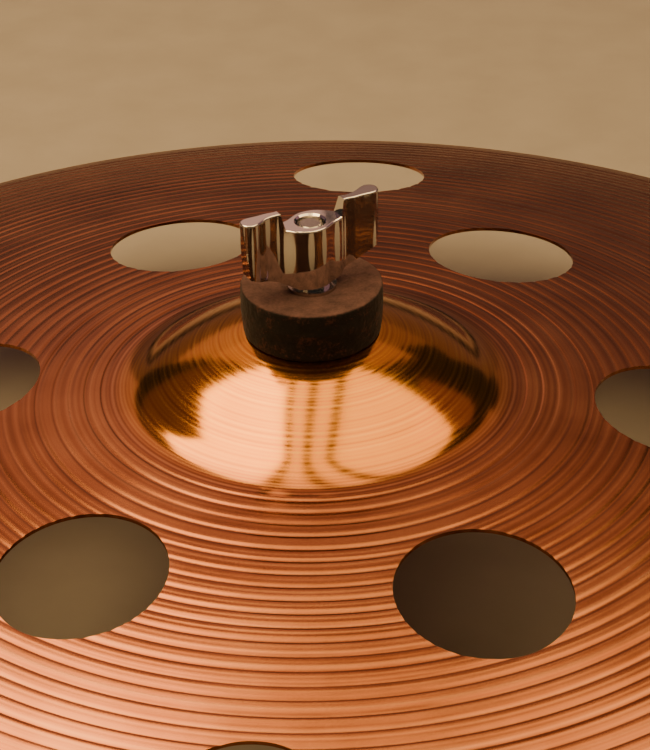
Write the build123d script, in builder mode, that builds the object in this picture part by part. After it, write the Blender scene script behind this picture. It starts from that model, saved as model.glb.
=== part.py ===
"""Crash cymbal, 18 inch, with two staggered rings of sound holes, on its brake tilter.

Frame: millimetres, +Z up. The origin is the centre of the mouth of the tilter's tube socket,
where the top tube of a stand goes in. The post stands along +Z, and the tilter's hinge runs along X.
From the bottom: tube socket and yoke, clamped head, threaded rod, lock nut, seat washer, sleeve,
lower felt, cymbal, upper felt, nut washer and wing nut.
"""

import os
from math import asin, atan2, cos, degrees, radians, sin

from build123d import *

os.makedirs("parts", exist_ok=True)

# ---- Cymbal: one hammered and lathed bronze disc ----
cymbal_diameter = 457.2
cymbal_thickness = 1.1
bell_radius = 58.0  # where the bell runs out into the bow
bell_height = 19.8
bell_root_radius = 20.0  # concave blend at the foot of the bell
bow_radius = 845.0
bow_start_slope = 4.95  # degrees below level at the foot of the bell
centre_hole_diameter = 12.0
sound_hole_diameter = 46.4
holes_per_ring = 6
inner_ring_radius = 104.0
outer_ring_radius = 167.0

# ---- Threaded rod and what is stacked on it ----
rod_diameter = 8.0
rod_tip_chamfer = 1.2
rod_tip_below_nut_top = 0.6
rod_in_head = 16.0
seat_above_pivot = 30.0
lock_nut_across_flats = 13.0
lock_nut_height = 4.0
seat_washer_diameter = 36.0
seat_washer_thickness = 1.2
sleeve_diameter = 10.0
sleeve_flange_diameter = 16.0
sleeve_flange_thickness = 1.5
sleeve_above_cymbal = 9.0
lower_felt_diameter = 38.0
lower_felt_thickness = 10.0
upper_felt_diameter = 40.0
upper_felt_thickness = 15.0  # at its edge
upper_felt_sunk = 1.1  # how far the nut washer has pressed the middle of the felt's top down
felt_edge_radius = 0.9
nut_washer_diameter = 14.2
nut_washer_thickness = 1.0

# ---- Wing nut, in its own frame: u along the wings, v across them, w up from its foot ----
wing_neck_radius = 5.6
wing_neck_height = 1.2
wing_hub_height = 19.4
wing_height = 24.3
wing_span = 43.2
wing_edge_bevel = 0.5
wing_nut_turned = 34.0  # degrees from +X at rest
clamp_wing_size = 0.8  # the clamp's wing, as a share of the wing nut
clamp_wing_turned = 65.0  # degrees from +Y at rest

# ---- Brake tilter ----
tube_diameter = 12.7  # the stand's top tube
socket_depth = 30.0
socket_wall = 4.6
boss_width = 14.0
boss_reach = 17.5  # from the post's axis to the face that the key bolts enter
yoke_floor_height = 36.0
pivot_height = 54.0
ear_radius = 13.0
casting_corner = 3.0
casting_bevel = 0.8
ear_thickness = 7.0
head_width = 14.0
head_barrel_radius = 12.0
head_neck_radius = 6.6
head_collar_radius = 9.0
head_collar_height = 6.0
friction_disc_thickness = 1.0
friction_disc_diameter = 23.0
clamp_bolt_diameter = 8.0
clamp_nut_across_flats = 13.0
clamp_nut_thickness = 6.5
clamp_nut_pocket_depth = 5.0
clamp_bolt_past_nut = 1.0
clamp_bolt_in_wing = 10.0
clamp_washer_diameter = 16.0
clamp_washer_thickness = 1.5
key_bolt_diameter = 6.0
key_bolt_heights = (9.0, 21.0)
key_bolt_collar_diameter = 9.0
key_bolt_collar_thickness = 1.8
key_bolt_square = 5.8
key_bolt_square_length = 7.0
key_bolt_tip_recess = 0.4

# ---- Clearances, all on the radius unless named otherwise ----
tube_clearance = 0.05
thread_clearance = 0.02
nut_thread_clearance = 0.05
bolt_clearance = 0.2
washer_clearance = 0.2
sleeve_clearance = 0.15
felt_clearance = 0.2
felt_to_cymbal_gap = 0.2
pocket_clearance = 0.1
rubbing_gap = 0.05  # between the head and each friction disc, along the bolt

# ---- Heights that follow from the stack ----
rod_radius = rod_diameter / 2
bolt_radius = clamp_bolt_diameter / 2
socket_radius = tube_diameter / 2 + tube_clearance
yoke_radius = socket_radius + socket_wall
gap_half_width = head_width / 2 + rubbing_gap + friction_disc_thickness
ear_face = gap_half_width + ear_thickness  # outer face of each ear, from the middle
seat_z = pivot_height + seat_above_pivot
washer_z = seat_z + lock_nut_height
flange_z = washer_z + seat_washer_thickness
lower_felt_z = flange_z + sleeve_flange_thickness
cymbal_under_z = lower_felt_z + lower_felt_thickness + felt_to_cymbal_gap
cymbal_top_z = cymbal_under_z + cymbal_thickness

# ---- Bell arcs, worked out so that the dome, its concave root and the bow stay tangent ----
slope = radians(bow_start_slope)
run = bell_radius + bell_root_radius * sin(slope)
rise = bell_height + bell_root_radius * (1 - cos(slope))
dome_angle = 2 * atan2(rise, run)
dome_radius = run / sin(dome_angle) - bell_root_radius
rim_angle = asin(sin(slope) + (cymbal_diameter / 2 - bell_radius) / bow_radius)
dome_centre = (0, cymbal_top_z - dome_radius)
root_centre = (
    (dome_radius + bell_root_radius) * sin(dome_angle),
    dome_centre[1] + (dome_radius + bell_root_radius) * cos(dome_angle),
)
bow_centre = (
    bell_radius - bow_radius * sin(slope),
    cymbal_top_z - bell_height - bow_radius * cos(slope),
)

# The upper felt is pressed to the dome, so its edge sits lower than its middle.
pressed_radius = dome_radius + felt_to_cymbal_gap
upper_felt_edge_z = dome_centre[1] + pressed_radius * cos(asin(upper_felt_diameter / 2 / pressed_radius))
upper_felt_top_z = upper_felt_edge_z + upper_felt_thickness
nut_washer_z = upper_felt_top_z - upper_felt_sunk
nut_z = nut_washer_z + nut_washer_thickness
rod_tip_z = nut_z + wing_hub_height - rod_tip_below_nut_top


def save(piece, name):
    """Labels the finished piece with its node's name and writes its STEP file."""
    piece.part.label = name
    export_step(piece.part, f"parts/{name}.step")


def rims(piece, radius):
    """The piece's circular edges of this radius."""
    return piece.edges().filter_by(GeomType.CIRCLE).filter_by(lambda edge: abs(edge.radius - radius) < 0.01)


def ring(inner_radius, outer_radius, plane, height):
    """A flat washer whose lower face lies on the plane."""
    with BuildPart() as washer:
        with BuildSketch(plane):
            Circle(outer_radius)
            Circle(inner_radius, mode=Mode.SUBTRACT)
        extrude(amount=height)
    return washer


def dome_arc(radius, start, end):
    """An arc about the dome's centre, between two distances from the axis. Returns it."""
    first, last = degrees(asin(start / radius)), degrees(asin(end / radius))
    return CenterArc(dome_centre, radius, 90 - first, first - last)


def cymbal_surface(depth):
    """The cymbal's section line from the centre hole to the rim, depth below its top face.

    Returns its two ends.
    """
    radius = dome_radius - depth
    dome = dome_arc(radius, centre_hole_diameter / 2, radius * sin(dome_angle))
    CenterArc(root_centre, bell_root_radius + depth, 270 - degrees(dome_angle), degrees(dome_angle - slope))
    bow = CenterArc(bow_centre, bow_radius - depth, 90 - degrees(slope), -degrees(rim_angle - slope))
    return dome @ 0, bow @ 1


def make_cymbal():
    with BuildPart() as cymbal:
        with BuildSketch(Plane.XZ):
            with BuildLine():
                top_hole_edge, top_rim = cymbal_surface(0)
                under_hole_edge, under_rim = cymbal_surface(cymbal_thickness)
                Line(top_hole_edge, under_hole_edge)
                Line(top_rim, under_rim)
            make_face()
        revolve(axis=Axis.Z)
        half_step = 180 / holes_per_ring
        with BuildSketch(Plane.XY):
            with PolarLocations(inner_ring_radius, holes_per_ring):
                Circle(sound_hole_diameter / 2)
            with PolarLocations(outer_ring_radius, holes_per_ring, start_angle=half_step):
                Circle(sound_hole_diameter / 2)
        extrude(amount=cymbal_top_z, mode=Mode.SUBTRACT)
    save(cymbal, "cymbal")


def make_lower_felt():
    """Rests on the seat washer, and is domed on top to fill the inside of the bell."""
    bore = sleeve_diameter / 2 + felt_clearance
    edge = lower_felt_diameter / 2
    with BuildPart() as felt:
        with BuildSketch(Plane.XZ):
            with BuildLine():
                crown = dome_arc(dome_radius - cymbal_thickness - felt_to_cymbal_gap, bore, edge)
                Polyline(crown @ 0, (bore, lower_felt_z), (edge, lower_felt_z), crown @ 1)
            make_face()
        revolve(axis=Axis.Z)
        fillet(rims(felt, edge), felt_edge_radius)
    save(felt, "lower_felt")


def make_upper_felt():
    """Pressed between the bell and the nut washer, so it is domed underneath and dished on top."""
    bore = sleeve_diameter / 2 + felt_clearance
    edge = upper_felt_diameter / 2
    with BuildPart() as felt:
        with BuildSketch(Plane.XZ):
            with BuildLine():
                underside = dome_arc(pressed_radius, bore, edge)
                Polyline(
                    underside @ 0,
                    (bore, nut_washer_z),
                    (nut_washer_diameter / 2, nut_washer_z),
                    (edge, upper_felt_top_z),
                    underside @ 1,
                )
            make_face()
        revolve(axis=Axis.Z)
        fillet(rims(felt, edge), felt_edge_radius)
    save(felt, "upper_felt")


def make_sleeve():
    """Flanged nylon tube that keeps the cymbal off the rod's thread."""
    bore = rod_radius + sleeve_clearance
    with BuildPart() as sleeve:
        with BuildSketch(Plane.XY.offset(flange_z)):
            Circle(sleeve_flange_diameter / 2)
        extrude(amount=sleeve_flange_thickness)
        with BuildSketch(Plane.XY.offset(flange_z)):
            Circle(sleeve_diameter / 2)
        extrude(amount=cymbal_top_z + sleeve_above_cymbal - flange_z)
        with BuildSketch(Plane.XY.offset(flange_z)):
            Circle(bore)
        extrude(amount=cymbal_top_z + sleeve_above_cymbal - flange_z, mode=Mode.SUBTRACT)
        chamfer(sleeve.edges().group_by(Axis.Z)[-1], (sleeve_diameter / 2 - bore) / 4)
    save(sleeve, "cymbal_sleeve")


def make_seat_washer():
    """Pressed steel dish: its middle holds the sleeve's flange flush with the ring that bears the felt."""
    bore = rod_radius + washer_clearance
    dish = sleeve_flange_diameter / 2 + felt_clearance
    t = seat_washer_thickness
    rim = seat_washer_diameter / 2
    with BuildPart() as washer:
        with BuildSketch(Plane.XZ):
            with BuildLine():
                Polyline(
                    (bore, washer_z),
                    (dish + t, washer_z),
                    (dish + t, lower_felt_z - t),
                    (rim, lower_felt_z - t),
                    (rim, lower_felt_z),
                    (dish, lower_felt_z),
                    (dish, flange_z),
                    (bore, flange_z),
                    close=True,
                )
            make_face()
        revolve(axis=Axis.Z)
        fillet(rims(washer, rim), t / 3)
    save(washer, "seat_washer")


def make_rod():
    bottom = seat_z - rod_in_head
    with BuildPart() as rod:
        with BuildSketch(Plane.XY.offset(bottom)):
            Circle(rod_radius)
        extrude(amount=rod_tip_z - bottom)
        chamfer(rod.edges().group_by(Axis.Z)[-1], rod_tip_chamfer)
        chamfer(rod.edges().group_by(Axis.Z)[0], rod_tip_chamfer / 2)
    save(rod, "threaded_rod")


def hex_nut(plane, across_flats, height, bore_radius):
    """A hexagon nut on the plane, with its corners turned off at both faces."""
    corner = across_flats / 2 / cos(radians(30))
    turned = (corner - across_flats / 2) * 0.55
    with BuildPart() as nut:
        with BuildSketch(plane):
            RegularPolygon(across_flats / 2, 6, major_radius=False)
        extrude(amount=height)
        with BuildPart(plane, mode=Mode.INTERSECT):
            Cylinder(corner, height, align=(Align.CENTER, Align.CENTER, Align.MIN))
            chamfer(edges().filter_by(GeomType.CIRCLE), turned, turned * 1.7)
        with BuildSketch(plane):
            Circle(bore_radius)
        extrude(amount=height, mode=Mode.SUBTRACT)
    return nut


def wing_body(plane, size, bore_radius, bore_depth):
    """A cast wing grip on a round foot: an S-shaped plan, cut by the outline seen from the side.

    Both outlines have a half turn of symmetry about the hub, so one half of each is given.
    """
    tip = wing_span / 2 * size
    foot = wing_neck_height * size
    hub_top = wing_hub_height * size
    top = wing_height * size
    half_plan = [
        (2.7, 6.0),
        (6.0, 4.4),
        (8.3, 2.4),
        (9.7, 1.2),
        (12.6, 0.9),
        (16.0, 2.1),
        (19.2, 3.3),
        (21.4, 2.0),
        (20.9, -1.3),
        (16.0, -1.9),
        (12.6, -1.9),
        (9.7, -1.8),
        (8.3, -2.9),
        (5.7, -3.8),
        (2.0, -5.7),
    ]
    scale_u = tip / 21.6
    plan = [(u * scale_u, v * size) for u, v in half_plan]
    plan += [(-u, -v) for u, v in plan]
    with BuildPart() as wing:
        with BuildSketch(plane.offset(foot)):
            with BuildLine():
                Spline(*plan, periodic=True)
            make_face()
        extrude(amount=top - foot)
        with BuildSketch(Plane(plane.origin, x_dir=plane.x_dir, z_dir=-plane.y_dir)) as outline:
            with BuildLine():
                Polyline(
                    (0, foot),
                    (0.28 * tip, foot),
                    (0.5 * tip, foot + 2.1 * size),
                    (0.72 * tip, foot + 4.2 * size),
                    (0.94 * tip, foot + 6.3 * size),
                    (tip * 1.02, top),
                    (0.45 * tip, top),
                    (0.4 * tip, hub_top),
                    (0, hub_top),
                    close=True,
                )
            make_face()
            mirror(about=Plane.YZ)
        extrude(amount=tip, both=True, mode=Mode.INTERSECT)
        caps = wing.faces().filter_by(lambda f: abs(f.normal_at().dot(plane.z_dir)) > 0.999)
        crowns = caps.filter_by(lambda f: (f.center() - plane.origin).dot(plane.z_dir) > hub_top - 0.1)
        fillet(crowns.edges().filter_by(GeomType.LINE, reverse=True), wing_edge_bevel * size)
        with BuildSketch(plane):
            Circle(wing_neck_radius * size)
        extrude(amount=foot + size)
        with BuildSketch(plane):
            Circle(bore_radius)
        extrude(amount=bore_depth, mode=Mode.SUBTRACT)
    return wing


def make_wing_nut():
    turned = Plane((0, 0, nut_z), x_dir=(cos(radians(wing_nut_turned)), sin(radians(wing_nut_turned)), 0))
    nut = wing_body(turned, 1.0, rod_radius + nut_thread_clearance, wing_height)
    with nut:
        rim = nut.edges().filter_by(GeomType.CIRCLE).group_by(Axis.Z)[-1]
        chamfer(rim, wing_edge_bevel)
    save(nut, "wing_nut")


def make_head():
    """Barrel that turns between the ears, with a neck and collar for the rod."""
    with BuildPart() as head:
        with BuildSketch(Plane.YZ.offset(-head_width / 2)):
            with Locations((0, pivot_height)):
                Circle(head_barrel_radius)
        extrude(amount=head_width)
        fillet(head.edges().filter_by(GeomType.CIRCLE), casting_bevel)
        with BuildSketch(Plane.XY.offset(pivot_height)):
            Circle(head_neck_radius)
        extrude(amount=seat_above_pivot - head_collar_height)
        with BuildSketch(Plane.XY.offset(seat_z - head_collar_height)):
            Circle(head_collar_radius)
        extrude(amount=head_collar_height)
        chamfer(head.edges().group_by(Axis.Z)[-1], casting_bevel)
        with BuildSketch(Plane.XY.offset(seat_z - rod_in_head)):
            Circle(rod_radius + thread_clearance)
        extrude(amount=rod_in_head, mode=Mode.SUBTRACT)
        with BuildSketch(Plane.YZ.offset(-head_width / 2)):
            with Locations((0, pivot_height)):
                Circle(bolt_radius + bolt_clearance)
        extrude(amount=head_width, mode=Mode.SUBTRACT)
    save(head, "tilter_head")


def make_yoke():
    """Tube socket below, two ears above, a through hole for the clamp bolt and a pocket for its nut."""
    with BuildPart() as yoke:
        with BuildSketch(Plane.XY):
            Circle(yoke_radius)
        extrude(amount=yoke_floor_height - ear_thickness)
        with BuildSketch(Plane.XY):
            Rectangle(boss_width, boss_reach, align=(Align.CENTER, Align.MIN))
        extrude(amount=yoke_floor_height - ear_thickness)
        with BuildSketch(Plane.YZ.offset(-ear_face)):
            with Locations((0, pivot_height)):
                Circle(ear_radius)
            with Locations((0, yoke_floor_height - ear_thickness)):
                Rectangle(
                    2 * ear_radius,
                    pivot_height - yoke_floor_height + ear_thickness,
                    align=(Align.CENTER, Align.MIN),
                )
        extrude(amount=2 * ear_face)
        upright = yoke.edges().filter_by(Axis.Z)
        corners = upright.filter_by(lambda e: abs(e.center().X) > ear_face - 0.1 or e.center().Y > boss_reach - 0.1)
        fillet(corners, casting_corner)
        chamfer(yoke.edges().group_by(Axis.Z)[0], casting_bevel)
        with BuildSketch(Plane.YZ.offset(-gap_half_width)):
            with Locations((0, yoke_floor_height)):
                Rectangle(4 * ear_radius, pivot_height, align=(Align.CENTER, Align.MIN))
        extrude(amount=2 * gap_half_width, mode=Mode.SUBTRACT)
        with BuildSketch(Plane.YZ.offset(-ear_face)):
            with Locations((0, pivot_height)):
                Circle(bolt_radius + bolt_clearance)
        extrude(amount=2 * ear_face, mode=Mode.SUBTRACT)
        with BuildSketch(Plane.YZ.offset(-ear_face)):
            with Locations((0, pivot_height)):
                RegularPolygon(clamp_nut_across_flats / 2 + pocket_clearance, 6, major_radius=False)
        extrude(amount=clamp_nut_pocket_depth, mode=Mode.SUBTRACT)
        with BuildSketch(Plane.XY):
            Circle(socket_radius)
        extrude(amount=socket_depth, mode=Mode.SUBTRACT)
        with BuildSketch(Plane.XZ):
            with Locations(*[(0, z) for z in key_bolt_heights]):
                Circle(key_bolt_diameter / 2 + thread_clearance)
        extrude(amount=-2 * boss_reach, mode=Mode.SUBTRACT)
    save(yoke, "tilter_yoke")


def make_key_bolts():
    """Two square-headed bolts that clamp the stand's tube, their tips just clear of the socket."""
    tip = socket_radius + key_bolt_tip_recess
    with BuildPart() as bolts:
        for z in key_bolt_heights:
            with BuildSketch(Plane.XZ.offset(-tip)):
                with Locations((0, z)):
                    Circle(key_bolt_diameter / 2)
            extrude(amount=-(boss_reach - tip))
            with BuildSketch(Plane.XZ.offset(-boss_reach)):
                with Locations((0, z)):
                    Circle(key_bolt_collar_diameter / 2)
            extrude(amount=-key_bolt_collar_thickness)
            with BuildSketch(Plane.XZ.offset(-boss_reach - key_bolt_collar_thickness)):
                with Locations((0, z)):
                    Rectangle(key_bolt_square, key_bolt_square)
            extrude(amount=-key_bolt_square_length)
        chamfer(bolts.faces().group_by(Axis.Y)[-1].edges(), 0.7)
    save(bolts, "socket_key_bolts")


def make_clamp():
    """The bolt that squeezes the ears, its captive nut, washer, cast wing and the two friction discs."""
    across = Plane((0, 0, pivot_height), x_dir=(0, 1, 0), z_dir=(1, 0, 0))
    disc_bore = bolt_radius + bolt_clearance
    for side, start in (("left", -gap_half_width), ("right", gap_half_width - friction_disc_thickness)):
        disc = ring(disc_bore, friction_disc_diameter / 2, across.offset(start), friction_disc_thickness)
        save(disc, f"friction_disc_{side}")

    washer = ring(
        bolt_radius + washer_clearance, clamp_washer_diameter / 2, across.offset(ear_face), clamp_washer_thickness
    )
    save(washer, "clamp_washer")

    nut_outside = -ear_face + clamp_nut_pocket_depth - clamp_nut_thickness
    nut = hex_nut(across.offset(nut_outside), clamp_nut_across_flats, clamp_nut_thickness, bolt_radius + thread_clearance)
    save(nut, "clamp_nut")

    wing_foot = ear_face + clamp_washer_thickness
    bolt_start = nut_outside - clamp_bolt_past_nut
    with BuildPart() as bolt:
        with BuildSketch(across.offset(bolt_start)):
            Circle(bolt_radius)
        extrude(amount=wing_foot + clamp_bolt_in_wing - bolt_start)
        chamfer(bolt.edges().group_by(Axis.X)[0], rod_tip_chamfer)
    save(bolt, "clamp_bolt")

    angle = radians(clamp_wing_turned)
    wing_plane = Plane((wing_foot, 0, pivot_height), x_dir=(0, cos(angle), sin(angle)), z_dir=(1, 0, 0))
    wing = wing_body(wing_plane, clamp_wing_size, bolt_radius + thread_clearance, clamp_bolt_in_wing)
    save(wing, "clamp_wing")


def make_rod_fittings():
    lock_nut = hex_nut(Plane.XY.offset(seat_z), lock_nut_across_flats, lock_nut_height, rod_radius + thread_clearance)
    save(lock_nut, "rod_lock_nut")
    washer = ring(
        rod_radius + washer_clearance,
        nut_washer_diameter / 2,
        Plane.XY.offset(nut_washer_z),
        nut_washer_thickness,
    )
    save(washer, "nut_washer")


make_cymbal()
make_lower_felt()
make_upper_felt()
make_sleeve()
make_seat_washer()
make_rod()
make_rod_fittings()
make_wing_nut()
make_head()
make_yoke()
make_key_bolts()
make_clamp()
print(f"cymbal top {cymbal_top_z:.2f}, felt top {upper_felt_top_z:.2f}, nut foot {nut_z:.2f}, rod tip {rod_tip_z:.2f}")
print(f"dome radius {dome_radius:.2f}, steepest {degrees(dome_angle):.1f} degrees, rim {degrees(rim_angle):.1f} degrees")
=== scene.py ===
# %% [markdown]
# # A holed crash cymbal on its stand rod
#
# The mechanical model already exists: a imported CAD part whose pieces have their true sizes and
# joints. This script loads it as a fixed frame and builds the looks around it: the lathed bronze,
# the pressed felt, the chrome, the threads, the light and the camera. Lengths are in metres, so a
# small helper turns millimetres, in which the pieces were measured, into metres.

import bpy
import numpy as np
from mathutils import Matrix, Vector


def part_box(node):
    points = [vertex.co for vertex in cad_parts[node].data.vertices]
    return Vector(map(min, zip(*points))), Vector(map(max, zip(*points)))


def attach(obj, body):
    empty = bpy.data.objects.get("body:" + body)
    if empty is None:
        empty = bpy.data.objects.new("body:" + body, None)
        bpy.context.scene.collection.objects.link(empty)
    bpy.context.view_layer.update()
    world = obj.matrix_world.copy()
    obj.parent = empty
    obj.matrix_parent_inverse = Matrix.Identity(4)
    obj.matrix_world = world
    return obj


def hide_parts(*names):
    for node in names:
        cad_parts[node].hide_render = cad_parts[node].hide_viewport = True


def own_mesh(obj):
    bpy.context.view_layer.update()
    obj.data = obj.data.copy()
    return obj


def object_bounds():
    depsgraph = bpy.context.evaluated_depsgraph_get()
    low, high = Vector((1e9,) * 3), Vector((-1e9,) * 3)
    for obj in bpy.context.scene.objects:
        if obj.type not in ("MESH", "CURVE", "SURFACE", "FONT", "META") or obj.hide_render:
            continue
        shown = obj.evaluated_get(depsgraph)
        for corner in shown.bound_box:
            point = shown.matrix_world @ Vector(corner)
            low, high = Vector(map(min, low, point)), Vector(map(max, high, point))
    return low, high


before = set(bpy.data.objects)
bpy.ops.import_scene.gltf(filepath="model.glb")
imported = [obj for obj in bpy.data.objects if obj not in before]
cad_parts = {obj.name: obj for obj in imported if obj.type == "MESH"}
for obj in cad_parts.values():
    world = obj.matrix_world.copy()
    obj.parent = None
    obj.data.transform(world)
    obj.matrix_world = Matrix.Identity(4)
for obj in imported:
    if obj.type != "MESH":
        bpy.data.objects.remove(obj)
cad_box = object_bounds()
MM = 0.001
low, high = (np.array(corner) / MM for corner in cad_box)
print("frame: %d pieces, %.0f x %.0f x %.0f mm" % (len(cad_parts), *(high - low)))

# %% [markdown]
# Every later piece takes its place from the CAD model's own boxes. A box gives a piece's lowest and
# highest corner, and because the rod's axis is the Z axis, the largest X is also a radius.


# %% Places read from the frame
def node_box(node):
    """The node's lowest and highest corner, in millimetres."""
    return [np.array(corner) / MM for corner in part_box(node)]


def ring_sizes(node):
    """(lowest height, highest height, outer radius) of a node that is round about the Z axis."""
    lowest, highest = node_box(node)
    return lowest[2], highest[2], (highest[0] - lowest[0]) / 2


rim_z, bell_top_z, rim_radius = ring_sizes("cymbal")
felt_low, felt_high, felt_radius = ring_sizes("upper_felt")
lower_felt_low, _, lower_felt_radius = ring_sizes("lower_felt")
washer_low, _, washer_radius = ring_sizes("nut_washer")
rod_low, rod_high, rod_radius = ring_sizes("threaded_rod")
print("bell top %.1f, rod tip %.1f mm" % (bell_top_z, rod_high))
print("upper felt %.1f to %.1f mm" % (felt_low, felt_high))

# %% [markdown]
# ## Colour and node helpers
#
# Colours are picked as the hex values a screen shows (sRGB). Blender's shaders work in linear light,
# so one function converts them. A second function adds a shader node, sets its values and links its
# inputs in one call, which keeps each material short enough to read as a recipe.


# %% Helpers for colours and nodes
def colour(hex_value):
    """An sRGB hex value such as '#b87333' as linear red, green, blue and alpha."""
    channels = np.array([int(hex_value[i : i + 2], 16) / 255 for i in (1, 3, 5)])
    linear = np.where(channels <= 0.04045, channels / 12.92, ((channels + 0.055) / 1.055) ** 2.4)
    return (*linear.tolist(), 1.0)


def add(tree, kind, values=None, **settings):
    """Adds a shader node and returns it.

    settings are the node's own options. values maps an input to a number, a colour or the output
    socket of another node.
    """
    node = tree.nodes.new("ShaderNode" + kind)
    for name, value in settings.items():
        setattr(node, name, value)
    for key, value in (values or {}).items():
        socket = node.inputs[key]
        if isinstance(value, bpy.types.NodeSocket):
            tree.links.new(value, socket)
        else:
            socket.default_value = value
    return node


def new_material(name, **principled):
    """A material with one Principled shader. Returns the material, its node tree and the shader."""
    material = bpy.data.materials.new(name)
    material.use_nodes = True
    tree = material.node_tree
    shader = tree.nodes["Principled BSDF"]
    for key, value in principled.items():
        shader.inputs[key.replace("_", " ").title().replace("Ior", "IOR")].default_value = value
    return material, tree, shader


def ramp(tree, factor, stops):
    """A colour ramp from (position, hex colour) stops. Returns its colour output."""
    node = add(tree, "ValToRGB", {"Fac": factor})
    elements = node.color_ramp.elements
    while len(elements) < len(stops):
        elements.new(0.5)
    for element, (position, value) in zip(elements, stops):
        element.position = position
        element.color = colour(value)
    return node.outputs["Color"]


# %% [markdown]
# ## Surfaces from numpy
#
# Nearly every piece here is turned on a lathe or pressed, so it is a surface of revolution: a
# profile, given as radius and height, carried round the axis. One function turns any grid of points
# into a mesh. It builds all vertices and faces as arrays and hands them over in one call, which is
# hundreds of times faster than adding them one by one.


# %% Grid to mesh
def grid_faces(rows, columns, close_columns=True, close_rows=False):
    """Quads of a grid of rows by columns, numbered row by row, wrapped round where asked."""
    i = np.arange(rows if close_rows else rows - 1)
    j = np.arange(columns if close_columns else columns - 1)
    i, j = np.meshgrid(i, j, indexing="ij")
    after_i, after_j = (i + 1) % rows, (j + 1) % columns
    corners = [i * columns + j, i * columns + after_j, after_i * columns + after_j, after_i * columns + j]
    return np.stack([c.ravel() for c in corners], axis=1)


def mesh_object(name, points, faces, material):
    """A smooth-shaded mesh object from an (n, 3) array in millimetres and its faces."""
    mesh = bpy.data.meshes.new(name)
    mesh.from_pydata(np.asarray(points, float) * MM, [], [list(face) for face in faces])
    mesh.materials.append(material)
    mesh.shade_smooth()
    piece = bpy.data.objects.new(name, mesh)
    bpy.context.scene.collection.objects.link(piece)
    return piece


def turned(profile, segments):
    """Points of a profile of (radius, height) rows carried round the Z axis, one column per segment."""
    profile = np.asarray(profile, float)
    angle = np.linspace(0, 2 * np.pi, segments, endpoint=False)
    radius, height = profile[:, :1], profile[:, 1:]
    return np.stack(
        [radius * np.cos(angle), radius * np.sin(angle), height + 0 * angle], axis=-1
    ).reshape(-1, 3)


def report(piece):
    """Prints a finished piece's size and number of triangles."""
    mesh = piece.data
    triangles = sum(len(polygon.vertices) - 2 for polygon in mesh.polygons)
    size = np.array(piece.dimensions) / MM
    print("%s: %.1f x %.1f x %.1f mm, %d triangles" % (piece.name, *size, triangles))


# %% [markdown]
# ## Lathed bronze
#
# A cymbal is tin bronze, cast, rolled, hammered and then lathed: a hand-held cutter leaves a spiral
# of shallow grooves a few millimetres apart with finer tool lines inside them. The bell is cut much
# finer and polished, so it is nearly a mirror, while the bow has a satin glow that stretches into
# streaks across the grooves. A metal takes its colour from the base colour alone; its roughness
# changes from line to line, because each pass of the cutter leaves a slightly different burnish.

# %% Bronze
BELL_RADIUS = 58.0
GROOVE_PITCH = 4.7
BELL_FEED = 2.1
# Depths of the marks that the material draws, in metres.
BELL_LINE_DEPTH = 0.004 * MM
BOW_LINE_DEPTH = 0.010 * MM
FEED_DEPTH = 0.0034 * MM
HAMMER_DEPTH = 0.09 * MM


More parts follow.
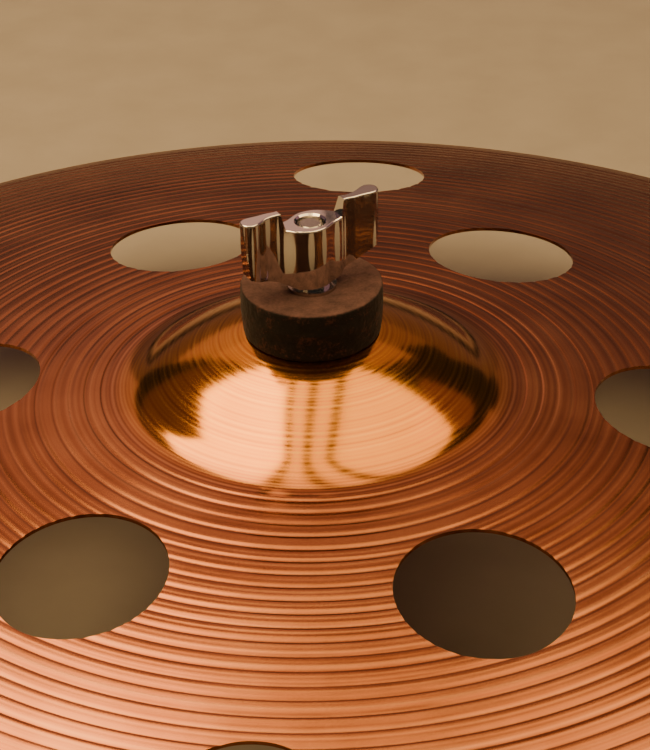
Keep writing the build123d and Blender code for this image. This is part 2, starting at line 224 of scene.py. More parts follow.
def make_bronze():
    """The cymbal's metal: every ring in it is a function of the distance from the axis."""
    material, tree, shader = new_material("lathed_tin_bronze", metallic=1.0)
    place = add(tree, "TexCoord").outputs["Object"]
    split = add(tree, "SeparateXYZ", {"Vector": place})
    flat = add(tree, "CombineXYZ", {"X": split.outputs["X"], "Y": split.outputs["Y"]})
    length = add(tree, "VectorMath", {0: flat.outputs["Vector"]}, operation="LENGTH").outputs["Value"]
    radius = add(tree, "Math", {0: length, 1: 1 / MM}, operation="MULTIPLY").outputs["Value"]

    # Tool lines: noise that depends on the radius alone, so that it draws rings. Real ones are about
    # 0.2 mm apart, too fine to show, so they are drawn 0.8 mm apart on the bell and 1.6 mm on the bow.
    bell_lines = add(
        tree, "TexNoise", {"W": radius, "Scale": 1.25, "Detail": 0.0}, noise_dimensions="1D"
    ).outputs[0]
    bow_lines = add(
        tree, "TexNoise", {"W": radius, "Scale": 0.6, "Detail": 1.0}, noise_dimensions="1D"
    ).outputs[0]
    on_bow = add(
        tree, "MapRange", {"Value": radius, "From Min": BELL_RADIUS, "From Max": BELL_RADIUS + 3.0}
    ).outputs["Result"]
    lines = add(tree, "Mix", {0: on_bow, 2: bell_lines, 3: bow_lines}, data_type="FLOAT").outputs[0]
    line_depth = add(
        tree, "MapRange", {"Value": on_bow, "To Min": BELL_LINE_DEPTH, "To Max": BOW_LINE_DEPTH}
    ).outputs["Result"]
    line_height = add(tree, "Math", {0: lines, 1: line_depth}, operation="MULTIPLY").outputs["Value"]

    # The cutter's feed on the bell is a regular ripple, one ring every 2.1 mm.
    feed = add(tree, "Math", {0: radius, 1: 2 * np.pi / BELL_FEED}, operation="MULTIPLY").outputs["Value"]
    feed = add(tree, "Math", {0: feed}, operation="SINE").outputs["Value"]
    feed_depth = add(
        tree, "MapRange", {"Value": on_bow, "To Min": FEED_DEPTH, "To Max": 0.0}
    ).outputs["Result"]
    height = add(
        tree, "Math", {0: feed, 1: feed_depth, 2: line_height}, operation="MULTIPLY_ADD"
    ).outputs["Value"]

    # Hammer blows leave very shallow hollows about 16 mm across, which bend straight reflections.
    hammer = add(tree, "TexNoise", {"Vector": place, "Scale": 62.0, "Detail": 0.0}).outputs[0]
    height = add(
        tree, "Math", {0: hammer, 1: HAMMER_DEPTH, 2: height}, operation="MULTIPLY_ADD"
    ).outputs["Value"]
    bump = add(tree, "Bump", {"Height": height, "Distance": 1.0, "Strength": 1.0})
    tree.links.new(bump.outputs["Normal"], shader.inputs["Normal"])

    # Handling leaves soft, cloudy dulling about 30 mm across.
    clouds = add(tree, "TexNoise", {"Vector": place, "Scale": 32.0, "Detail": 3.0}).outputs[0]
    dull = add(tree, "MapRange", {"Value": clouds, "To Min": -0.03, "To Max": 0.05}).outputs["Result"]
    satin = add(tree, "MapRange", {"Value": on_bow, "To Min": 0.135, "To Max": 0.22}).outputs["Result"]
    line_rough = add(tree, "MapRange", {"Value": lines, "To Min": -0.05, "To Max": 0.05}).outputs["Result"]
    rough = add(tree, "Math", {0: satin, 1: dull}, operation="ADD").outputs["Value"]
    rough = add(tree, "Math", {0: rough, 1: line_rough}, operation="ADD").outputs["Value"]
    tree.links.new(rough, shader.inputs["Roughness"])

    # The bell is given a brighter, yellower bronze than the cut bow's deeper, redder one. That difference is
    # a painted highlight: it stands for the bell's brighter reflections of the overhead box and turns them
    # gold.
    tint = add(tree, "Math", {0: lines, 1: clouds}, operation="ADD").outputs["Value"]
    tint = add(tree, "Math", {0: tint, 1: 0.5}, operation="MULTIPLY").outputs["Value"]
    bell_tone_and_painted_highlight = ramp(tree, tint, [(0.3, "#c27c34"), (0.5, "#d68d36"), (0.7, "#e29e44")])
    bow_tone = ramp(tree, tint, [(0.3, "#8a5338"), (0.5, "#a96c4b"), (0.7, "#bf825c")])
    # Painted highlight: the brighter bell tone fades into the bow tone over the last 9 mm of the bell.
    bell_polish_and_highlight_mask = add(
        tree, "MapRange", {"Value": radius, "From Min": BELL_RADIUS - 9.0, "From Max": BELL_RADIUS}
    ).outputs["Result"]
    base = add(tree, "Mix", {0: bell_polish_and_highlight_mask, 6: bell_tone_and_painted_highlight, 7: bow_tone}, data_type="RGBA").outputs[2]
    tree.links.new(base, shader.inputs["Base Color"])
    return material


bronze = make_bronze()
print("bronze: %d shader nodes" % len(bronze.node_tree.nodes))

# %% [markdown]
# ## The cymbal
#
# The CAD solid is a smooth shell. Here it becomes the lathed one. The section is three arcs that
# meet without a corner: the dome of the bell, a small concave arc at its foot, and the long bow.
# Shallow grooves are cut into the bow's upper face as real geometry, because they are wide enough to
# catch the light on their own; anything finer is left to the material. The holes are then punched
# with a boolean, as the real ones are punched after lathing.

# %% The cymbal's section
THICKNESS = 1.1
BELL_HEIGHT = 19.8
ROOT_RADIUS = 20.0
BOW_RADIUS = 845.0
BOW_SLOPE = np.radians(4.95)
CENTRE_HOLE = 6.0

half_dome = np.arctan2(
    BELL_HEIGHT + ROOT_RADIUS * (1 - np.cos(BOW_SLOPE)), BELL_RADIUS + ROOT_RADIUS * np.sin(BOW_SLOPE)
)
dome_angle = 2 * half_dome
dome_radius = (BELL_RADIUS + ROOT_RADIUS * np.sin(BOW_SLOPE)) / np.sin(dome_angle) - ROOT_RADIUS
# The highest point of the CAD solid is the edge of the centre hole, a little below the dome's crown.
stack_top = bell_top_z + dome_radius - np.sqrt(dome_radius**2 - CENTRE_HOLE**2)
dome_centre_z = stack_top - dome_radius
root_r = (dome_radius + ROOT_RADIUS) * np.sin(dome_angle)
root_z = dome_centre_z + (dome_radius + ROOT_RADIUS) * np.cos(dome_angle)
bow_r = BELL_RADIUS - BOW_RADIUS * np.sin(BOW_SLOPE)
bow_z = stack_top - BELL_HEIGHT - BOW_RADIUS * np.cos(BOW_SLOPE)


def top_height(radius):
    """Height of the smooth upper face at a distance from the axis: dome, then foot, then bow.

    Each is an arc: its centre's height plus (dome, bow) or minus (foot) the root of the arc's
    radius squared less the squared distance from the arc's centre line.
    """
    dome = dome_centre_z + np.sqrt(np.maximum(dome_radius**2 - radius**2, 0))
    foot = root_z - np.sqrt(np.maximum(ROOT_RADIUS**2 - (radius - root_r) ** 2, 0))
    bow = bow_z + np.sqrt(BOW_RADIUS**2 - (radius - bow_r) ** 2)
    dome_end = dome_radius * np.sin(dome_angle)
    return np.where(radius < dome_end, dome, np.where(radius < BELL_RADIUS, foot, bow))


print("dome radius %.1f mm" % dome_radius)
print("rim's upper face at %.2f mm, its lowest edge at %.2f mm" % (top_height(rim_radius), rim_z))


# %% [markdown]
# The cutter's grooves are rings, so they can be part of the section itself: each one is a few extra
# rows in the profile, set a little lower than the smooth curve. A displacement texture could do the
# same, but it would need a much finer mesh to keep such narrow edges. Small seeded changes in place
# and depth keep the rings from looking machine-made.

# %% Lathe grooves
# Rows of each groove as fractions of the pitch, and how deep the cut is there, as a share of the
# full depth: a slope down and outwards, a rounded bottom, a shorter and steeper rise, and a flat
# land with a faint second pass of the cutter. The full depth is in millimetres.
GROOVE_AT = np.array([0.0, 0.08, 0.18, 0.28, 0.34, 0.40, 0.47, 0.66, 0.74, 0.82])
GROOVE_CUT = np.array([0.0, 0.20, 0.68, 1.0, 0.88, 0.34, 0.0, 0.0, 0.10, 0.0])
GROOVE_DEPTH = 0.20
FIRST_GROOVE = BELL_RADIUS + 1.6

rng = np.random.default_rng(18)
groove_count = int((rim_radius - 2.0 - FIRST_GROOVE) / GROOVE_PITCH)
groove_start = FIRST_GROOVE + GROOVE_PITCH * np.arange(groove_count)
groove_start += rng.uniform(-0.04, 0.04, groove_count) * GROOVE_PITCH
groove_depth = GROOVE_DEPTH * rng.uniform(0.8, 1.15, groove_count)
groove_rows = (groove_start[:, None] + GROOVE_PITCH * GROOVE_AT).ravel()
groove_cuts = (groove_depth[:, None] * GROOVE_CUT).ravel()
print("%d grooves, first at %.1f mm, last at %.1f mm" % (groove_count, groove_start[0], groove_start[-1]))


# %% [markdown]
# The section runs once round the metal, and is then turned about the axis like work on a lathe. More
# rows lie where the section bends most, at the foot of the bell.


# %% The lathed shell
def cymbal_profile():
    """Closed section: over the top, round the rim, back underneath, up through the centre hole.

    The underside is the upper face moved down by the thickness divided by the slope's cosine.
    """
    edge = 0.25
    dome_end = dome_radius * np.sin(dome_angle)
    bell = np.concatenate([
        np.linspace(CENTRE_HOLE + edge, dome_end, 34),
        np.linspace(dome_end, BELL_RADIUS, 14)[1:],
    ])
    outer = np.linspace(groove_rows[-1] + 1.0, rim_radius - edge, 4)
    top_r = np.concatenate([bell, [BELL_RADIUS + 0.8], groove_rows, outer])
    cut = np.interp(top_r, groove_rows, groove_cuts, left=0.0, right=0.0)
    top = np.stack([top_r, top_height(top_r) - cut], axis=1)
    under_r = np.concatenate([
        np.linspace(CENTRE_HOLE + edge, dome_end, 16),
        np.linspace(dome_end, BELL_RADIUS, 8)[1:],
        np.linspace(BELL_RADIUS, rim_radius - edge, 48)[1:],
    ])
    slope = np.gradient(top_height(under_r), under_r)
    tilt = np.sqrt(1 + slope**2)
    under = np.stack([under_r, top_height(under_r) - THICKNESS * tilt], axis=1)
    rim_top, rim_low = top[-1, 1], under[-1, 1]
    rim = np.array([
        [rim_radius, rim_top - edge],
        [rim_radius, (rim_top + rim_low) / 2],
        [rim_radius, rim_low + edge],
    ])
    hole = np.array([
        [CENTRE_HOLE, under[0, 1] + edge],
        [CENTRE_HOLE, top[0, 1] - edge],
    ])
    return np.concatenate([top, rim, under[::-1], hole])


profile = cymbal_profile()
SEGMENTS = 224
shell_points = turned(profile, SEGMENTS)
# The section closes on itself, so the last row joins the first and the shell has no open edge.
shell_faces = grid_faces(len(profile), SEGMENTS, close_rows=True)
cymbal = mesh_object("cymbal_lathed", shell_points, shell_faces, bronze)
report(cymbal)

# %% [markdown]
# The sound holes are the same twelve as in the CAD: six on an inner ring, six on an outer ring
# turned by half a step. The cutter is one mesh of twelve cylinders. A boolean is the right tool,
# because the holes cross the turned grid at all angles and their walls must stay truly round.

# %% Punch the sound holes
HOLE_RADIUS = 23.2
HOLE_SIDES = 120
# Radius of each ring of six holes, and the angle of its first hole in degrees.
RINGS = ((104.0, 0.0), (167.0, 30.0))


def hole_cutter():
    """Twelve upright cylinders: a circle at two heights about each hole's centre, closed by two caps."""
    around = np.linspace(0, 2 * np.pi, HOLE_SIDES, endpoint=False)
    circle = np.stack([np.cos(around), np.sin(around)], axis=1) * HOLE_RADIUS
    ring_radius, first = np.array(RINGS).T[:, :, None]
    angle = np.radians(first + 60 * np.arange(6))
    centres = np.stack([ring_radius * np.cos(angle), ring_radius * np.sin(angle)], axis=-1).reshape(-1, 2)
    points = np.empty((len(centres), 2, HOLE_SIDES, 3))
    points[..., :2] = centres[:, None, None] + circle
    points[..., 2] = np.array([rim_z - 10, bell_top_z + 10])[:, None]
    side = grid_faces(2, HOLE_SIDES)
    cap = np.arange(HOLE_SIDES)
    faces = []
    for first_point in range(0, len(centres) * 2 * HOLE_SIDES, 2 * HOLE_SIDES):
        faces += (first_point + side).tolist()
        faces += [(first_point + cap[::-1]).tolist(), (first_point + HOLE_SIDES + cap).tolist()]
    return mesh_object("hole_cutter", points.reshape(-1, 3), faces, bronze)


def punch(piece):
    """Cuts the sound holes out of the piece and returns it with the cut applied."""
    cutter = hole_cutter()
    cut = piece.modifiers.new("holes", "BOOLEAN")
    cut.operation, cut.solver, cut.object = "DIFFERENCE", "EXACT", cutter
    depsgraph = bpy.context.evaluated_depsgraph_get()
    result = bpy.data.meshes.new_from_object(piece.evaluated_get(depsgraph))
    piece.modifiers.clear()
    piece.data = result
    bpy.data.objects.remove(cutter)
    result.shade_smooth()
    result.set_sharp_from_angle(angle=np.radians(28))
    return piece


punch(cymbal)
report(cymbal)
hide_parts("cymbal")
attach(cymbal, "cymbal")

# %% [markdown]
# ## Pressed wool felt
#
# The two felts are thick washers cut from pressed wool. The cut side is rough, with loose fibres, and is
# coloured almost black: partly the cut wool's own darker look, mostly painted shade for a side that the
# overhead light misses. The faces are pressed smooth and are coloured a paler brown. Felt has no weave, so
# the look is a cloud of short fibres: soft lumps in the surface, a fine bump, some sheen and a thin coat of
# real hairs. The clamped felt bellies out a little below its upper edge and its underside takes the bell's
# shape.


# %% Felt material
def make_felt():
    """Nearly black on the cut side, as painted shade, and a paler brown on the faces, where the point
    attribute that marks the pressed faces is high.
    """
    material, tree, shader = new_material(
        "pressed_wool_felt", roughness=0.95, sheen_weight=0.06, sheen_roughness=0.5
    )
    place = add(tree, "TexCoord").outputs["Object"]
    # Fibre tufts are about 0.8 mm across, single fibres about 0.15 mm.
    tufts = add(
        tree, "TexNoise", {"Vector": place, "Scale": 1200.0, "Detail": 4.0, "Roughness": 0.7}
    ).outputs[0]
    patches = add(tree, "TexNoise", {"Vector": place, "Scale": 220.0, "Detail": 3.0}).outputs[0]
    mixed = add(tree, "Math", {0: tufts, 1: patches}, operation="ADD").outputs["Value"]
    mixed = add(tree, "Math", {0: mixed, 1: 0.5}, operation="MULTIPLY").outputs["Value"]
    # Painted shade: the cut side's near-black stops stand for the shade that falls on the side, on top of
    # the cut wool's own darker look.
    side = ramp(tree, mixed, [(0.44, "#040202"), (0.54, "#0d0605"), (0.61, "#42251f")])
    face = ramp(tree, mixed, [(0.36, "#3c2626"), (0.5, "#4f3635"), (0.64, "#624543")])
    pressed_face_vs_shaded_side = add(tree, "Attribute", attribute_name="pressed_face_vs_shaded_side").outputs["Fac"]
    base = add(tree, "Mix", {0: pressed_face_vs_shaded_side, 6: side, 7: face}, data_type="RGBA").outputs[2]
    tree.links.new(base, shader.inputs["Base Color"])
    bump = add(tree, "Bump", {"Height": tufts, "Distance": 0.12 * MM, "Strength": 0.7})
    tree.links.new(bump.outputs["Normal"], shader.inputs["Normal"])
    return material


felt = make_felt()
print("felt: %d shader nodes" % len(felt.node_tree.nodes))

# %% [markdown]
# Felt this dense doesn't sag or swell like a cushion, so a cloth simulation has nothing to do here.
# The washer's section is drawn as a line, given points at an even step, and turned about the axis.
# Then each point moves along its normal by soft noise, less on the pressed faces. A thousand or so
# hairs, each a tiny three-sided tube, break up the outline of the cut side.


# %% Felt shapes
def smooth_noise(shape, cells, seed):
    """Noise on a grid that repeats at its edges, one unit high, kept to at most `cells` waves each way.

    It is white noise with the faster waves removed by a Fourier transform.
    """
    noise = np.random.default_rng(seed).standard_normal(shape)
    spectrum = np.fft.fft2(noise)
    row_waves = np.fft.fftfreq(shape[0])[:, None] * shape[0]
    column_waves = np.fft.fftfreq(shape[1]) * shape[1]
    fast = np.hypot(row_waves / cells[0], column_waves / cells[1])
    smooth = np.real(np.fft.ifft2(spectrum * np.exp(-(fast**2))))
    return smooth / np.abs(smooth).max()


def resample(corners, step):
    """A closed line of (radius, height) points with a point about every step along it."""
    closed = np.concatenate([corners, corners[:1]])
    along = np.concatenate([[0], np.cumsum(np.hypot(*np.diff(closed, axis=0).T))])
    count = int(along[-1] / step)
    at = np.linspace(0, along[-1], count, endpoint=False)
    return np.stack([np.interp(at, along, closed[:, k]) for k in (0, 1)], axis=1)


def rounded(centre, radius, start, end, points=8):
    """Points of an arc, angles in degrees: the centre plus the radius times (cosine, sine)."""
    angle = np.radians(np.linspace(start, end, points))
    return np.stack([centre[0] + radius * np.cos(angle), centre[1] + radius * np.sin(angle)], axis=1)


def felt_piece(name, outline, step, segments, seed):
    """A felt washer: its section is carried round the axis and pushed in and out by soft noise.

    The section runs counter-clockwise in the radius-height plane, so its outward direction is the
    direction of travel turned a quarter turn clockwise.
    """
    section = resample(outline, step)
    ahead = np.roll(section, -1, axis=0) - np.roll(section, 1, axis=0)
    normal = np.stack([ahead[:, 1], -ahead[:, 0]], axis=1)
    normal /= np.linalg.norm(normal, axis=1)[:, None]
    # 1 on the pressed faces, 0 on the cut side: it calms the lumps on the faces, and the material uses it to
    # paint shade on the side.
    pressed_face_vs_shaded_side = np.clip((np.abs(normal[:, 1]) - 0.75) / 0.2, 0, 1)
    shape = (len(section), segments)
    lumps = 0.16 * smooth_noise(shape, (18, 40), seed) + 0.16 * smooth_noise(shape, (60, 150), seed + 1)
    lumps *= (1 - 0.85 * pressed_face_vs_shaded_side)[:, None]
    radius = section[:, :1] + normal[:, :1] * lumps
    height = section[:, 1:] + normal[:, 1:] * lumps
    angle = np.linspace(0, 2 * np.pi, segments, endpoint=False)
    points = np.stack([radius * np.cos(angle), radius * np.sin(angle), height + 0 * angle], axis=-1)
    faces = grid_faces(*shape, close_rows=True)
    return points.reshape(-1, 3), faces, np.repeat(pressed_face_vs_shaded_side, segments)


def hairs(count, radius, low_z, high_z, seed):
    """Loose fibres on the cut side: thin three-sided tubes that lie along the felt and lift in the middle.

    Each fibre runs for about a millimetre round and up the side, and bows out by a tenth of that.
    """
    r = np.random.default_rng(seed)
    steps, sides = 5, 3
    angle = r.uniform(0, 2 * np.pi, count)
    height = r.uniform(low_z, high_z, count)
    length = r.uniform(0.7, 1.8, count)
    lean = r.normal(0, 0.7, count)
    t = np.linspace(-0.5, 0.5, steps)
    round_way = angle[:, None] + length[:, None] * np.cos(lean)[:, None] * t / radius
    up_way = height[:, None] + length[:, None] * np.sin(lean)[:, None] * t
    out = radius + 0.05 + r.uniform(0.05, 0.32, count)[:, None] * (1 - (2 * t) ** 2)
    thick = 0.028 * (1.1 - np.abs(2 * t))
    turn = np.linspace(0, 2 * np.pi, sides, endpoint=False)
    ring_out = out[..., None] + thick[:, None] * np.cos(turn)
    ring_up = up_way[..., None] + thick[:, None] * np.sin(turn)
    around = np.repeat(round_way[..., None], sides, axis=2)
    points = np.stack([ring_out * np.cos(around), ring_out * np.sin(around), ring_up], axis=-1)
    one = grid_faces(steps, sides)
    faces = (one[None] + (np.arange(count) * steps * sides)[:, None, None]).reshape(-1, 4)
    return points.reshape(-1, 3), faces


def build_felt(name, node, outline, step, segments, hair_count, hair_radius, hair_span, seed):
    """Joins a felt's body and hairs into one piece, and stores how pressed each point is; the material also
    uses this to put painted shade on the cut side.
    """
    points, faces, pressed_face_vs_shaded_side = felt_piece(name, outline, step, segments, seed)
    hair_points, hair_faces = hairs(hair_count, hair_radius, *hair_span, seed + 7)
    faces = np.concatenate([faces, hair_faces + len(points)])
    pressed_face_vs_shaded_side = np.concatenate([pressed_face_vs_shaded_side, np.full(len(hair_points), 0.25)])
    piece = mesh_object(name, np.concatenate([points, hair_points]), faces, felt)
    pressed_face_vs_shaded_side_attribute = piece.data.attributes.new("pressed_face_vs_shaded_side", "FLOAT", "POINT")
    pressed_face_vs_shaded_side_attribute.data.foreach_set("value", pressed_face_vs_shaded_side.astype(np.float32))
    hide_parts(node)
    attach(piece, "sleeve_and_felts")
    report(piece)
    return piece


# %% [markdown]
# The upper felt sits on the bell, so its underside is a slice of the same sphere, a little larger.
# The nut's washer has sunk into its top, and the sides belly out above the middle.

# %% Upper felt
BORE = 5.2
GAP = 0.2


def dome_z(radius, offset):
    """Height of a sphere about the bell's centre, offset outwards from its upper face."""
    return dome_centre_z + np.sqrt((dome_radius + offset) ** 2 - radius**2)


base_radius = felt_radius - 0.5
base_round = 0.9
under_r = np.linspace(BORE, base_radius - base_round, 12)
upper_outline = np.concatenate([
    np.stack([under_r, dome_z(under_r, GAP)], axis=1),
    rounded((base_radius - base_round, dome_z(base_radius, GAP) + base_round), base_round, -80, -5),
    np.array([
        [felt_radius - 0.15, felt_low + 5.0],
        [felt_radius + 0.15, felt_low + 8.5],
        [felt_radius + 0.05, felt_high - 3.0],
    ]),
    rounded((felt_radius - 0.6, felt_high - 0.6), 0.6, 0, 85),
    [
        [0.6 * felt_radius, felt_high - 0.45],
        [washer_radius + 0.8, washer_low + 0.15],
        [washer_radius - 0.3, washer_low - 0.02],
        [BORE + 0.4, washer_low - 0.02],
        [BORE, washer_low - 0.4],
    ],
])
upper_felt = build_felt(
    "upper_felt_pressed", "upper_felt", upper_outline, 0.42, 330, 1500, felt_radius - 0.2,
    (felt_low + 3.0, felt_high - 0.8), 3,
)
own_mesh(upper_felt)

# %% Lower felt
lower_r = np.linspace(lower_felt_radius - 1.6, BORE, 12)
lower_outline = np.concatenate([
    [[BORE, lower_felt_low], [lower_felt_radius - 1.2, lower_felt_low]],
    rounded((lower_felt_radius - 1.2, lower_felt_low + 1.2), 1.2, -90, 0),
    rounded((lower_felt_radius - 1.2, dome_z(lower_felt_radius, -THICKNESS - GAP) - 1.1), 1.2, 0, 80),
    np.stack([lower_r, dome_z(lower_r, -THICKNESS - GAP)], axis=1),
])
lower_felt = build_felt(
    "lower_felt_pressed", "lower_felt", lower_outline, 0.6, 220, 700, lower_felt_radius - 0.1,
    (lower_felt_low + 1.5, lower_felt_low + 6.0), 11,
)
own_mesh(lower_felt)

# %% [markdown]
# ## Chrome, plated steel, nylon and fibre
#
# The wing nut and the tilter are zinc castings with bright chrome: a mirror with a faint orange-peel
# ripple left by the casting. The rod, nuts and bolts are zinc-plated steel, greyer and softer. The
# sleeve is moulded nylon and the brake discs are vulcanised fibre.


# %% Metals and plastics
WEAR = 0.03  # how much rougher the most handled patches are


def make_metal(name, hex_value, roughness, ripple_mm, ripple_depth_mm):
    """A plated metal: fine ripples in the surface and cloudy changes in roughness."""
    material, tree, shader = new_material(name, metallic=1.0, base_color=colour(hex_value))
    place = add(tree, "TexCoord").outputs["Object"]
    ripple = add(tree, "TexNoise", {"Vector": place, "Scale": 1000.0 / ripple_mm, "Detail": 2.0}).outputs[0]
    clouds = add(tree, "TexNoise", {"Vector": place, "Scale": 120.0, "Detail": 4.0}).outputs[0]
    rough = add(
        tree, "MapRange",
        {"Value": clouds, "From Min": 0.3, "From Max": 0.7, "To Min": roughness, "To Max": roughness + WEAR},
    ).outputs["Result"]
    tree.links.new(rough, shader.inputs["Roughness"])
    bump = add(tree, "Bump", {"Height": ripple, "Distance": ripple_depth_mm * MM, "Strength": 0.5})
    tree.links.new(bump.outputs["Normal"], shader.inputs["Normal"])
    return material


def make_plain(name, dark, light, roughness, grain_mm):
    """A moulded or pressed non-metal: a little mottling and a fine grain."""
    material, tree, shader = new_material(name, roughness=roughness)
    place = add(tree, "TexCoord").outputs["Object"]
    grain = add(tree, "TexNoise", {"Vector": place, "Scale": 1000.0 / grain_mm, "Detail": 3.0}).outputs[0]
    base = ramp(tree, grain, [(0.35, dark), (0.65, light)])
    tree.links.new(base, shader.inputs["Base Color"])
    bump = add(tree, "Bump", {"Height": grain, "Distance": 0.02 * MM, "Strength": 0.4})
    tree.links.new(bump.outputs["Normal"], shader.inputs["Normal"])
    return material


chrome = make_metal("chromed_zinc_casting", "#e6e2de", 0.05, 3.0, 0.01)
plated = make_metal("nickel_plated_steel", "#cfcac4", 0.12, 0.8, 0.004)
zinc = make_metal("zinc_plated_steel", "#b4b2ae", 0.24, 0.5, 0.006)
nylon = make_plain("moulded_nylon", "#0d0d0d", "#191919", 0.42, 0.6)
fibre = make_plain("vulcanised_fibre", "#3d1a10", "#59291a", 0.6, 0.3)

FINISHES = {
    "wing_nut": chrome,
    "clamp_wing": chrome,
    "tilter_head": chrome,
    "tilter_yoke": chrome,
    "nut_washer": plated,
    "seat_washer": plated,
    "clamp_washer": plated,
    "rod_lock_nut": zinc,
    "clamp_nut": zinc,
    "socket_key_bolts": zinc,
    "cymbal_sleeve": nylon,
    "friction_disc_left": fibre,
    "friction_disc_right": fibre,
}
for node, finish in FINISHES.items():
    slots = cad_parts[node].material_slots
    for slot in slots:
        slot.material = finish
print("finished %d carried-over pieces" % len(FINISHES))

# %% [markdown]
# ## Screw threads
#
# The CAD's rod is a plain cylinder. A real M8 rod has a rolled thread of 1.25 mm pitch, which shows
# where the rod stands out of its nuts. A thread is one surface: the radius at a height and an angle
# depends only on where that point is in the pitch, after the angle has been taken off the height. The
# flanks slope at 60 degrees between a flat crest and a flat root, and the whole is cut back to a
# cone at each chamfered end. Both ends are closed with a many-sided face.

# %% A thread surface
PITCH = 1.25


def thread(low_end, high_end, radius, chamfer_low, chamfer_high, columns=40, rows_per_pitch=10):
    """Points and faces of a right-hand screw along Z, crest radius given, from low_end to high_end.

    Radius = crest - 0.61 pitch * profile(fraction of height / pitch - angle / one turn).
    """
    rows = int((high_end - low_end) / PITCH * rows_per_pitch)
    height = np.linspace(low_end, high_end, rows)[:, None]
    angle = np.linspace(0, 2 * np.pi, columns, endpoint=False)
    place = (height / PITCH - angle / (2 * np.pi)) % 1.0
    cut = np.interp(place, [0.0, 0.06, 0.38, 0.62, 0.94, 1.0], [0, 0, 1, 1, 0, 0])
    limit_low = radius - chamfer_low + (height - low_end)
    limit_high = radius - chamfer_high + (high_end - height)
    around = np.minimum(np.minimum(radius - 0.61 * PITCH * cut, limit_low), limit_high)
    points = np.stack([around * np.cos(angle), around * np.sin(angle), height + 0 * angle], axis=-1)
    faces = grid_faces(rows, columns).tolist()
    faces.append(list(reversed(range(columns))))
    faces.append(list(range((rows - 1) * columns, rows * columns)))
    return points.reshape(-1, 3), faces


def threaded_piece(name, node, body, points, faces):
    """A thread that stands for a CAD bolt or rod."""
    piece = mesh_object(name, points, faces, zinc)
    piece.data.set_sharp_from_angle(angle=np.radians(35))
    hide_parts(node)
    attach(piece, body)
    report(piece)


# %% [markdown]
# The same function makes both screws. The rod keeps its place on the Z axis. The clamp's bolt lies
# along X at the height of the tilter's hinge, so its coordinates change places.

# %% The rod and the clamp's bolt
rod_points, rod_faces = thread(rod_low, rod_high, rod_radius, 0.6, 1.2)
threaded_piece("rod_thread", "threaded_rod", "tilt_head", rod_points, rod_faces)

bolt_low, bolt_high = node_box("clamp_bolt")
bolt_radius = (bolt_high[2] - bolt_low[2]) / 2
pivot_z = (bolt_high[2] + bolt_low[2]) / 2
along, bolt_faces = thread(bolt_low[0], bolt_high[0], bolt_radius, 1.2, 0.4)
# The screw is made along Z. Moving each coordinate on by one place lays it along X, still right-handed.
bolt_points = along[:, [2, 0, 1]] + np.array([0, 0, pivot_z])
threaded_piece("clamp_bolt_thread", "clamp_bolt", "clamp_screw", bolt_points, bolt_faces)

# %% [markdown]
# ## Floor, light and camera
#
# A polished cymbal shows whatever is around it, so the light is designed as shapes to be reflected.
# The front of the bell faces the ceiling as seen from the camera, so a wide soft box overhead gives
# it its bright window, and the darker studio beyond the box's edges gives the sides their contrast.
# The bow faces the wall behind, where a weaker, larger light gives it an even glow.

# %% Floor
# A board in matt emulsion paint: no gloss, and a faint mottling about 25 mm across from the roller.
floor_material, floor_tree, floor_shader = new_material("painted_studio_floor", roughness=0.6)
floor_place = add(floor_tree, "TexCoord").outputs["Object"]
floor_noise = add(floor_tree, "TexNoise", {"Vector": floor_place, "Scale": 40.0, "Detail": 4.0}).outputs[0]
floor_tone = ramp(floor_tree, floor_noise, [(0.3, "#99948d"), (0.7, "#a09b94")])
floor_tree.links.new(floor_tone, floor_shader.inputs["Base Color"])
HALF_FLOOR = 4000.0
FLOOR_Z = -0.3
floor_corners = [[x * HALF_FLOOR, y * HALF_FLOOR, FLOOR_Z] for x, y in ((-1, -1), (1, -1), (1, 1), (-1, 1))]
floor = mesh_object("floor", floor_corners, [[0, 1, 2, 3]], floor_material)
print("floor %.0f mm square" % (2 * HALF_FLOOR))

# %% [markdown]
# Every lamp is a rectangular area light, because a mirror shows a lamp's outline and a studio's soft
# boxes are rectangles. The brightness that a reflection shows is a lamp's radiance, not its power,
# so the panels are set by radiance and their power is worked out from their area.


# %% Lights
def soft_box(name, position, aim, size, watts, tint):
    """A rectangular area light at a position, in millimetres, facing an aim point."""
    light = bpy.data.lights.new(name, "AREA")
    light.shape = "RECTANGLE"
    light.size, light.size_y = size[0] * MM, size[1] * MM
    light.energy = watts
    light.color = colour(tint)[:3]
    lamp = bpy.data.objects.new(name, light)
    position, aim = Vector(position) * MM, Vector(aim) * MM
    lamp.location = position
    lamp.rotation_euler = (aim - position).to_track_quat("-Z", "Y").to_euler()
    bpy.context.scene.collection.objects.link(lamp)
    return lamp


# Tints of the lights: the overhead box, the walls behind, and the panels at the sides.
WARM = "#ffd290"
AMBER = "#ffc1a6"
ROSE = "#ffb2c0"


def panel(name, position, aim, size, radiance, tint):
    """A soft box set by its brightness. Its power is radiance times area times pi."""
    watts = radiance * np.pi * size[0] * size[1] * MM * MM
    return soft_box(name, position, aim, size, watts, tint)


# The overhead box is four panels side by side, and the gaps between them are the thin dark lines
# down the front of the bell. The first panel is the brightest, so the bell's left glows palest.
# Each panel is its left edge, its right edge and its radiance.
PANELS = ((-1000, -210, 7.0), (-152, -58, 3.5), (-2, 116, 3.1), (177, 1200, 3.0))
BOX_HEIGHT, BOX_FRONT, BOX_BACK = 1150, -640, 620
for k, (panel_left, panel_right, radiance) in enumerate(PANELS):
    middle = ((panel_left + panel_right) / 2, (BOX_FRONT + BOX_BACK) / 2)
    size = (panel_right - panel_left, BOX_BACK - BOX_FRONT)
    panel("overhead_panel_%d" % k, (*middle, BOX_HEIGHT), (*middle, 0), size, radiance, WARM)

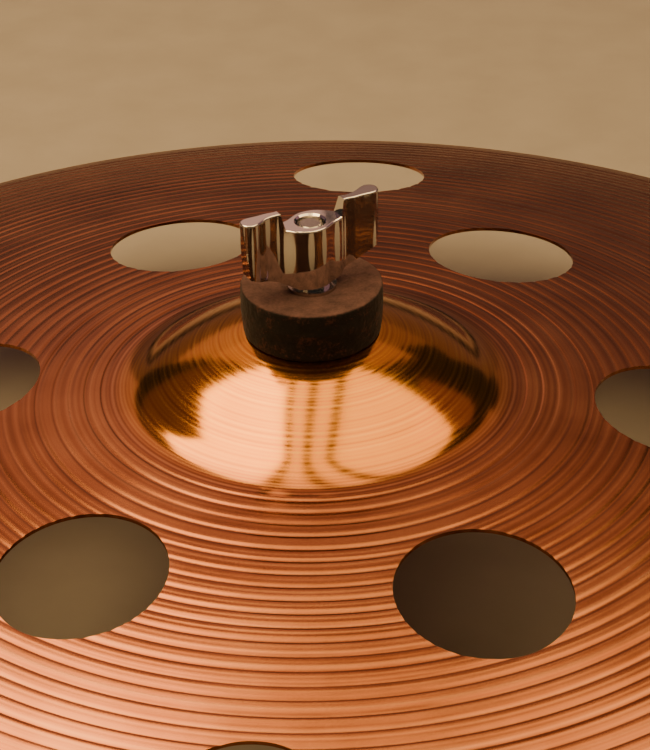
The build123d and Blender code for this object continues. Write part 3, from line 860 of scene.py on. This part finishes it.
# Dim walls of light behind, brighter the higher they are and brighter on the left: the upper ones
# are what the front of the bow and the nut reflect, the middle ones the sides of the bow, and the
# lower one its far half. The darker right side is what draws the shaded wall of each groove.
# Each wall is its left edge, right edge, foot, head and radiance.
WALL_DISTANCE = 1650
WALLS = (
    (-1350, 900, 150, 680, 0.16),
    (-1350, -160, 690, 1340, 0.62),
    (-150, 700, 690, 1340, 0.26),
    (-1350, -160, 1350, 2500, 0.82),
    (-150, 900, 1350, 2500, 0.55),
)
for k, (wall_left, wall_right, foot, head, radiance) in enumerate(WALLS):
    size = (wall_right - wall_left, head - foot)
    middle, height = (wall_left + wall_right) / 2, (foot + head) / 2
    panel("wall_%d" % k, (middle, WALL_DISTANCE, height), (middle, 0, height), size, radiance, AMBER)
# Dim panels at both sides keep the flanks of the bell from going black.
SIDE_PANEL = (1700, 1200)
for x, name, radiance in ((-1500, "side_left", 0.11), (1500, "side_right", 0.24)):
    panel(name, (x, 650, 1200), (0, 650, 500), SIDE_PANEL, radiance, ROSE)
soft_box("front_fill", (-900, -1500, 700), (0, 0, 80), (900, 700), 1.2, WARM)

world = bpy.data.worlds.new("dim_studio")
world.use_nodes = True
world.node_tree.nodes["Background"].inputs["Color"].default_value = colour("#8d857d")
world.node_tree.nodes["Background"].inputs["Strength"].default_value = 0.10
bpy.context.scene.world = world

# %% [markdown]
# The camera stands in front, looks down at about thirty degrees through a long lens, and is rolled
# by one degree. Its place is given as an azimuth, an elevation and a distance, and its axes are
# built from cross products, so no angle has to be converted to Euler form.

# %% Camera
# The camera circles the place where the felt sits on the bell, and then looks a little past it.
AZIMUTH, ELEVATION, ROLL = np.radians([6.1, 30.35, 1.2])
DISTANCE = 632.0
LENS = 106.5
FELT_FOOT_Z = 98.7
AIM_RIGHT, AIM_DOWN = 3.3, 12.7

right = np.array([np.cos(AZIMUTH), np.sin(AZIMUTH), 0.0])
level = np.array([np.sin(AZIMUTH), -np.cos(AZIMUTH), 0.0])
back = np.cos(ELEVATION) * level + np.array([0.0, 0.0, np.sin(ELEVATION)])
up = np.cross(back, right)
felt_foot = np.array([0.0, 0.0, FELT_FOOT_Z])
eye = felt_foot + DISTANCE * back
aim = felt_foot + AIM_RIGHT * right - AIM_DOWN * up
back = (eye - aim) / np.linalg.norm(eye - aim)
right = np.cross(up, back)
right /= np.linalg.norm(right)
up = np.cross(back, right)
tilted_right = np.cos(ROLL) * right - np.sin(ROLL) * up
tilted_up = np.sin(ROLL) * right + np.cos(ROLL) * up

lens = bpy.data.cameras.new("camera")
lens.lens = LENS
lens.sensor_width = 36.0
lens.clip_start, lens.clip_end = 0.01, 50.0
camera = bpy.data.objects.new("camera", lens)
pose = Matrix.Identity(4)
for column, axis in enumerate((tilted_right, tilted_up, back, eye * MM)):
    for row in range(3):
        pose[row][column] = axis[row]
camera.matrix_world = pose
bpy.context.scene.collection.objects.link(camera)
bpy.context.scene.camera = camera
print("camera %.0f mm away, lens %.1f mm" % (DISTANCE, LENS))
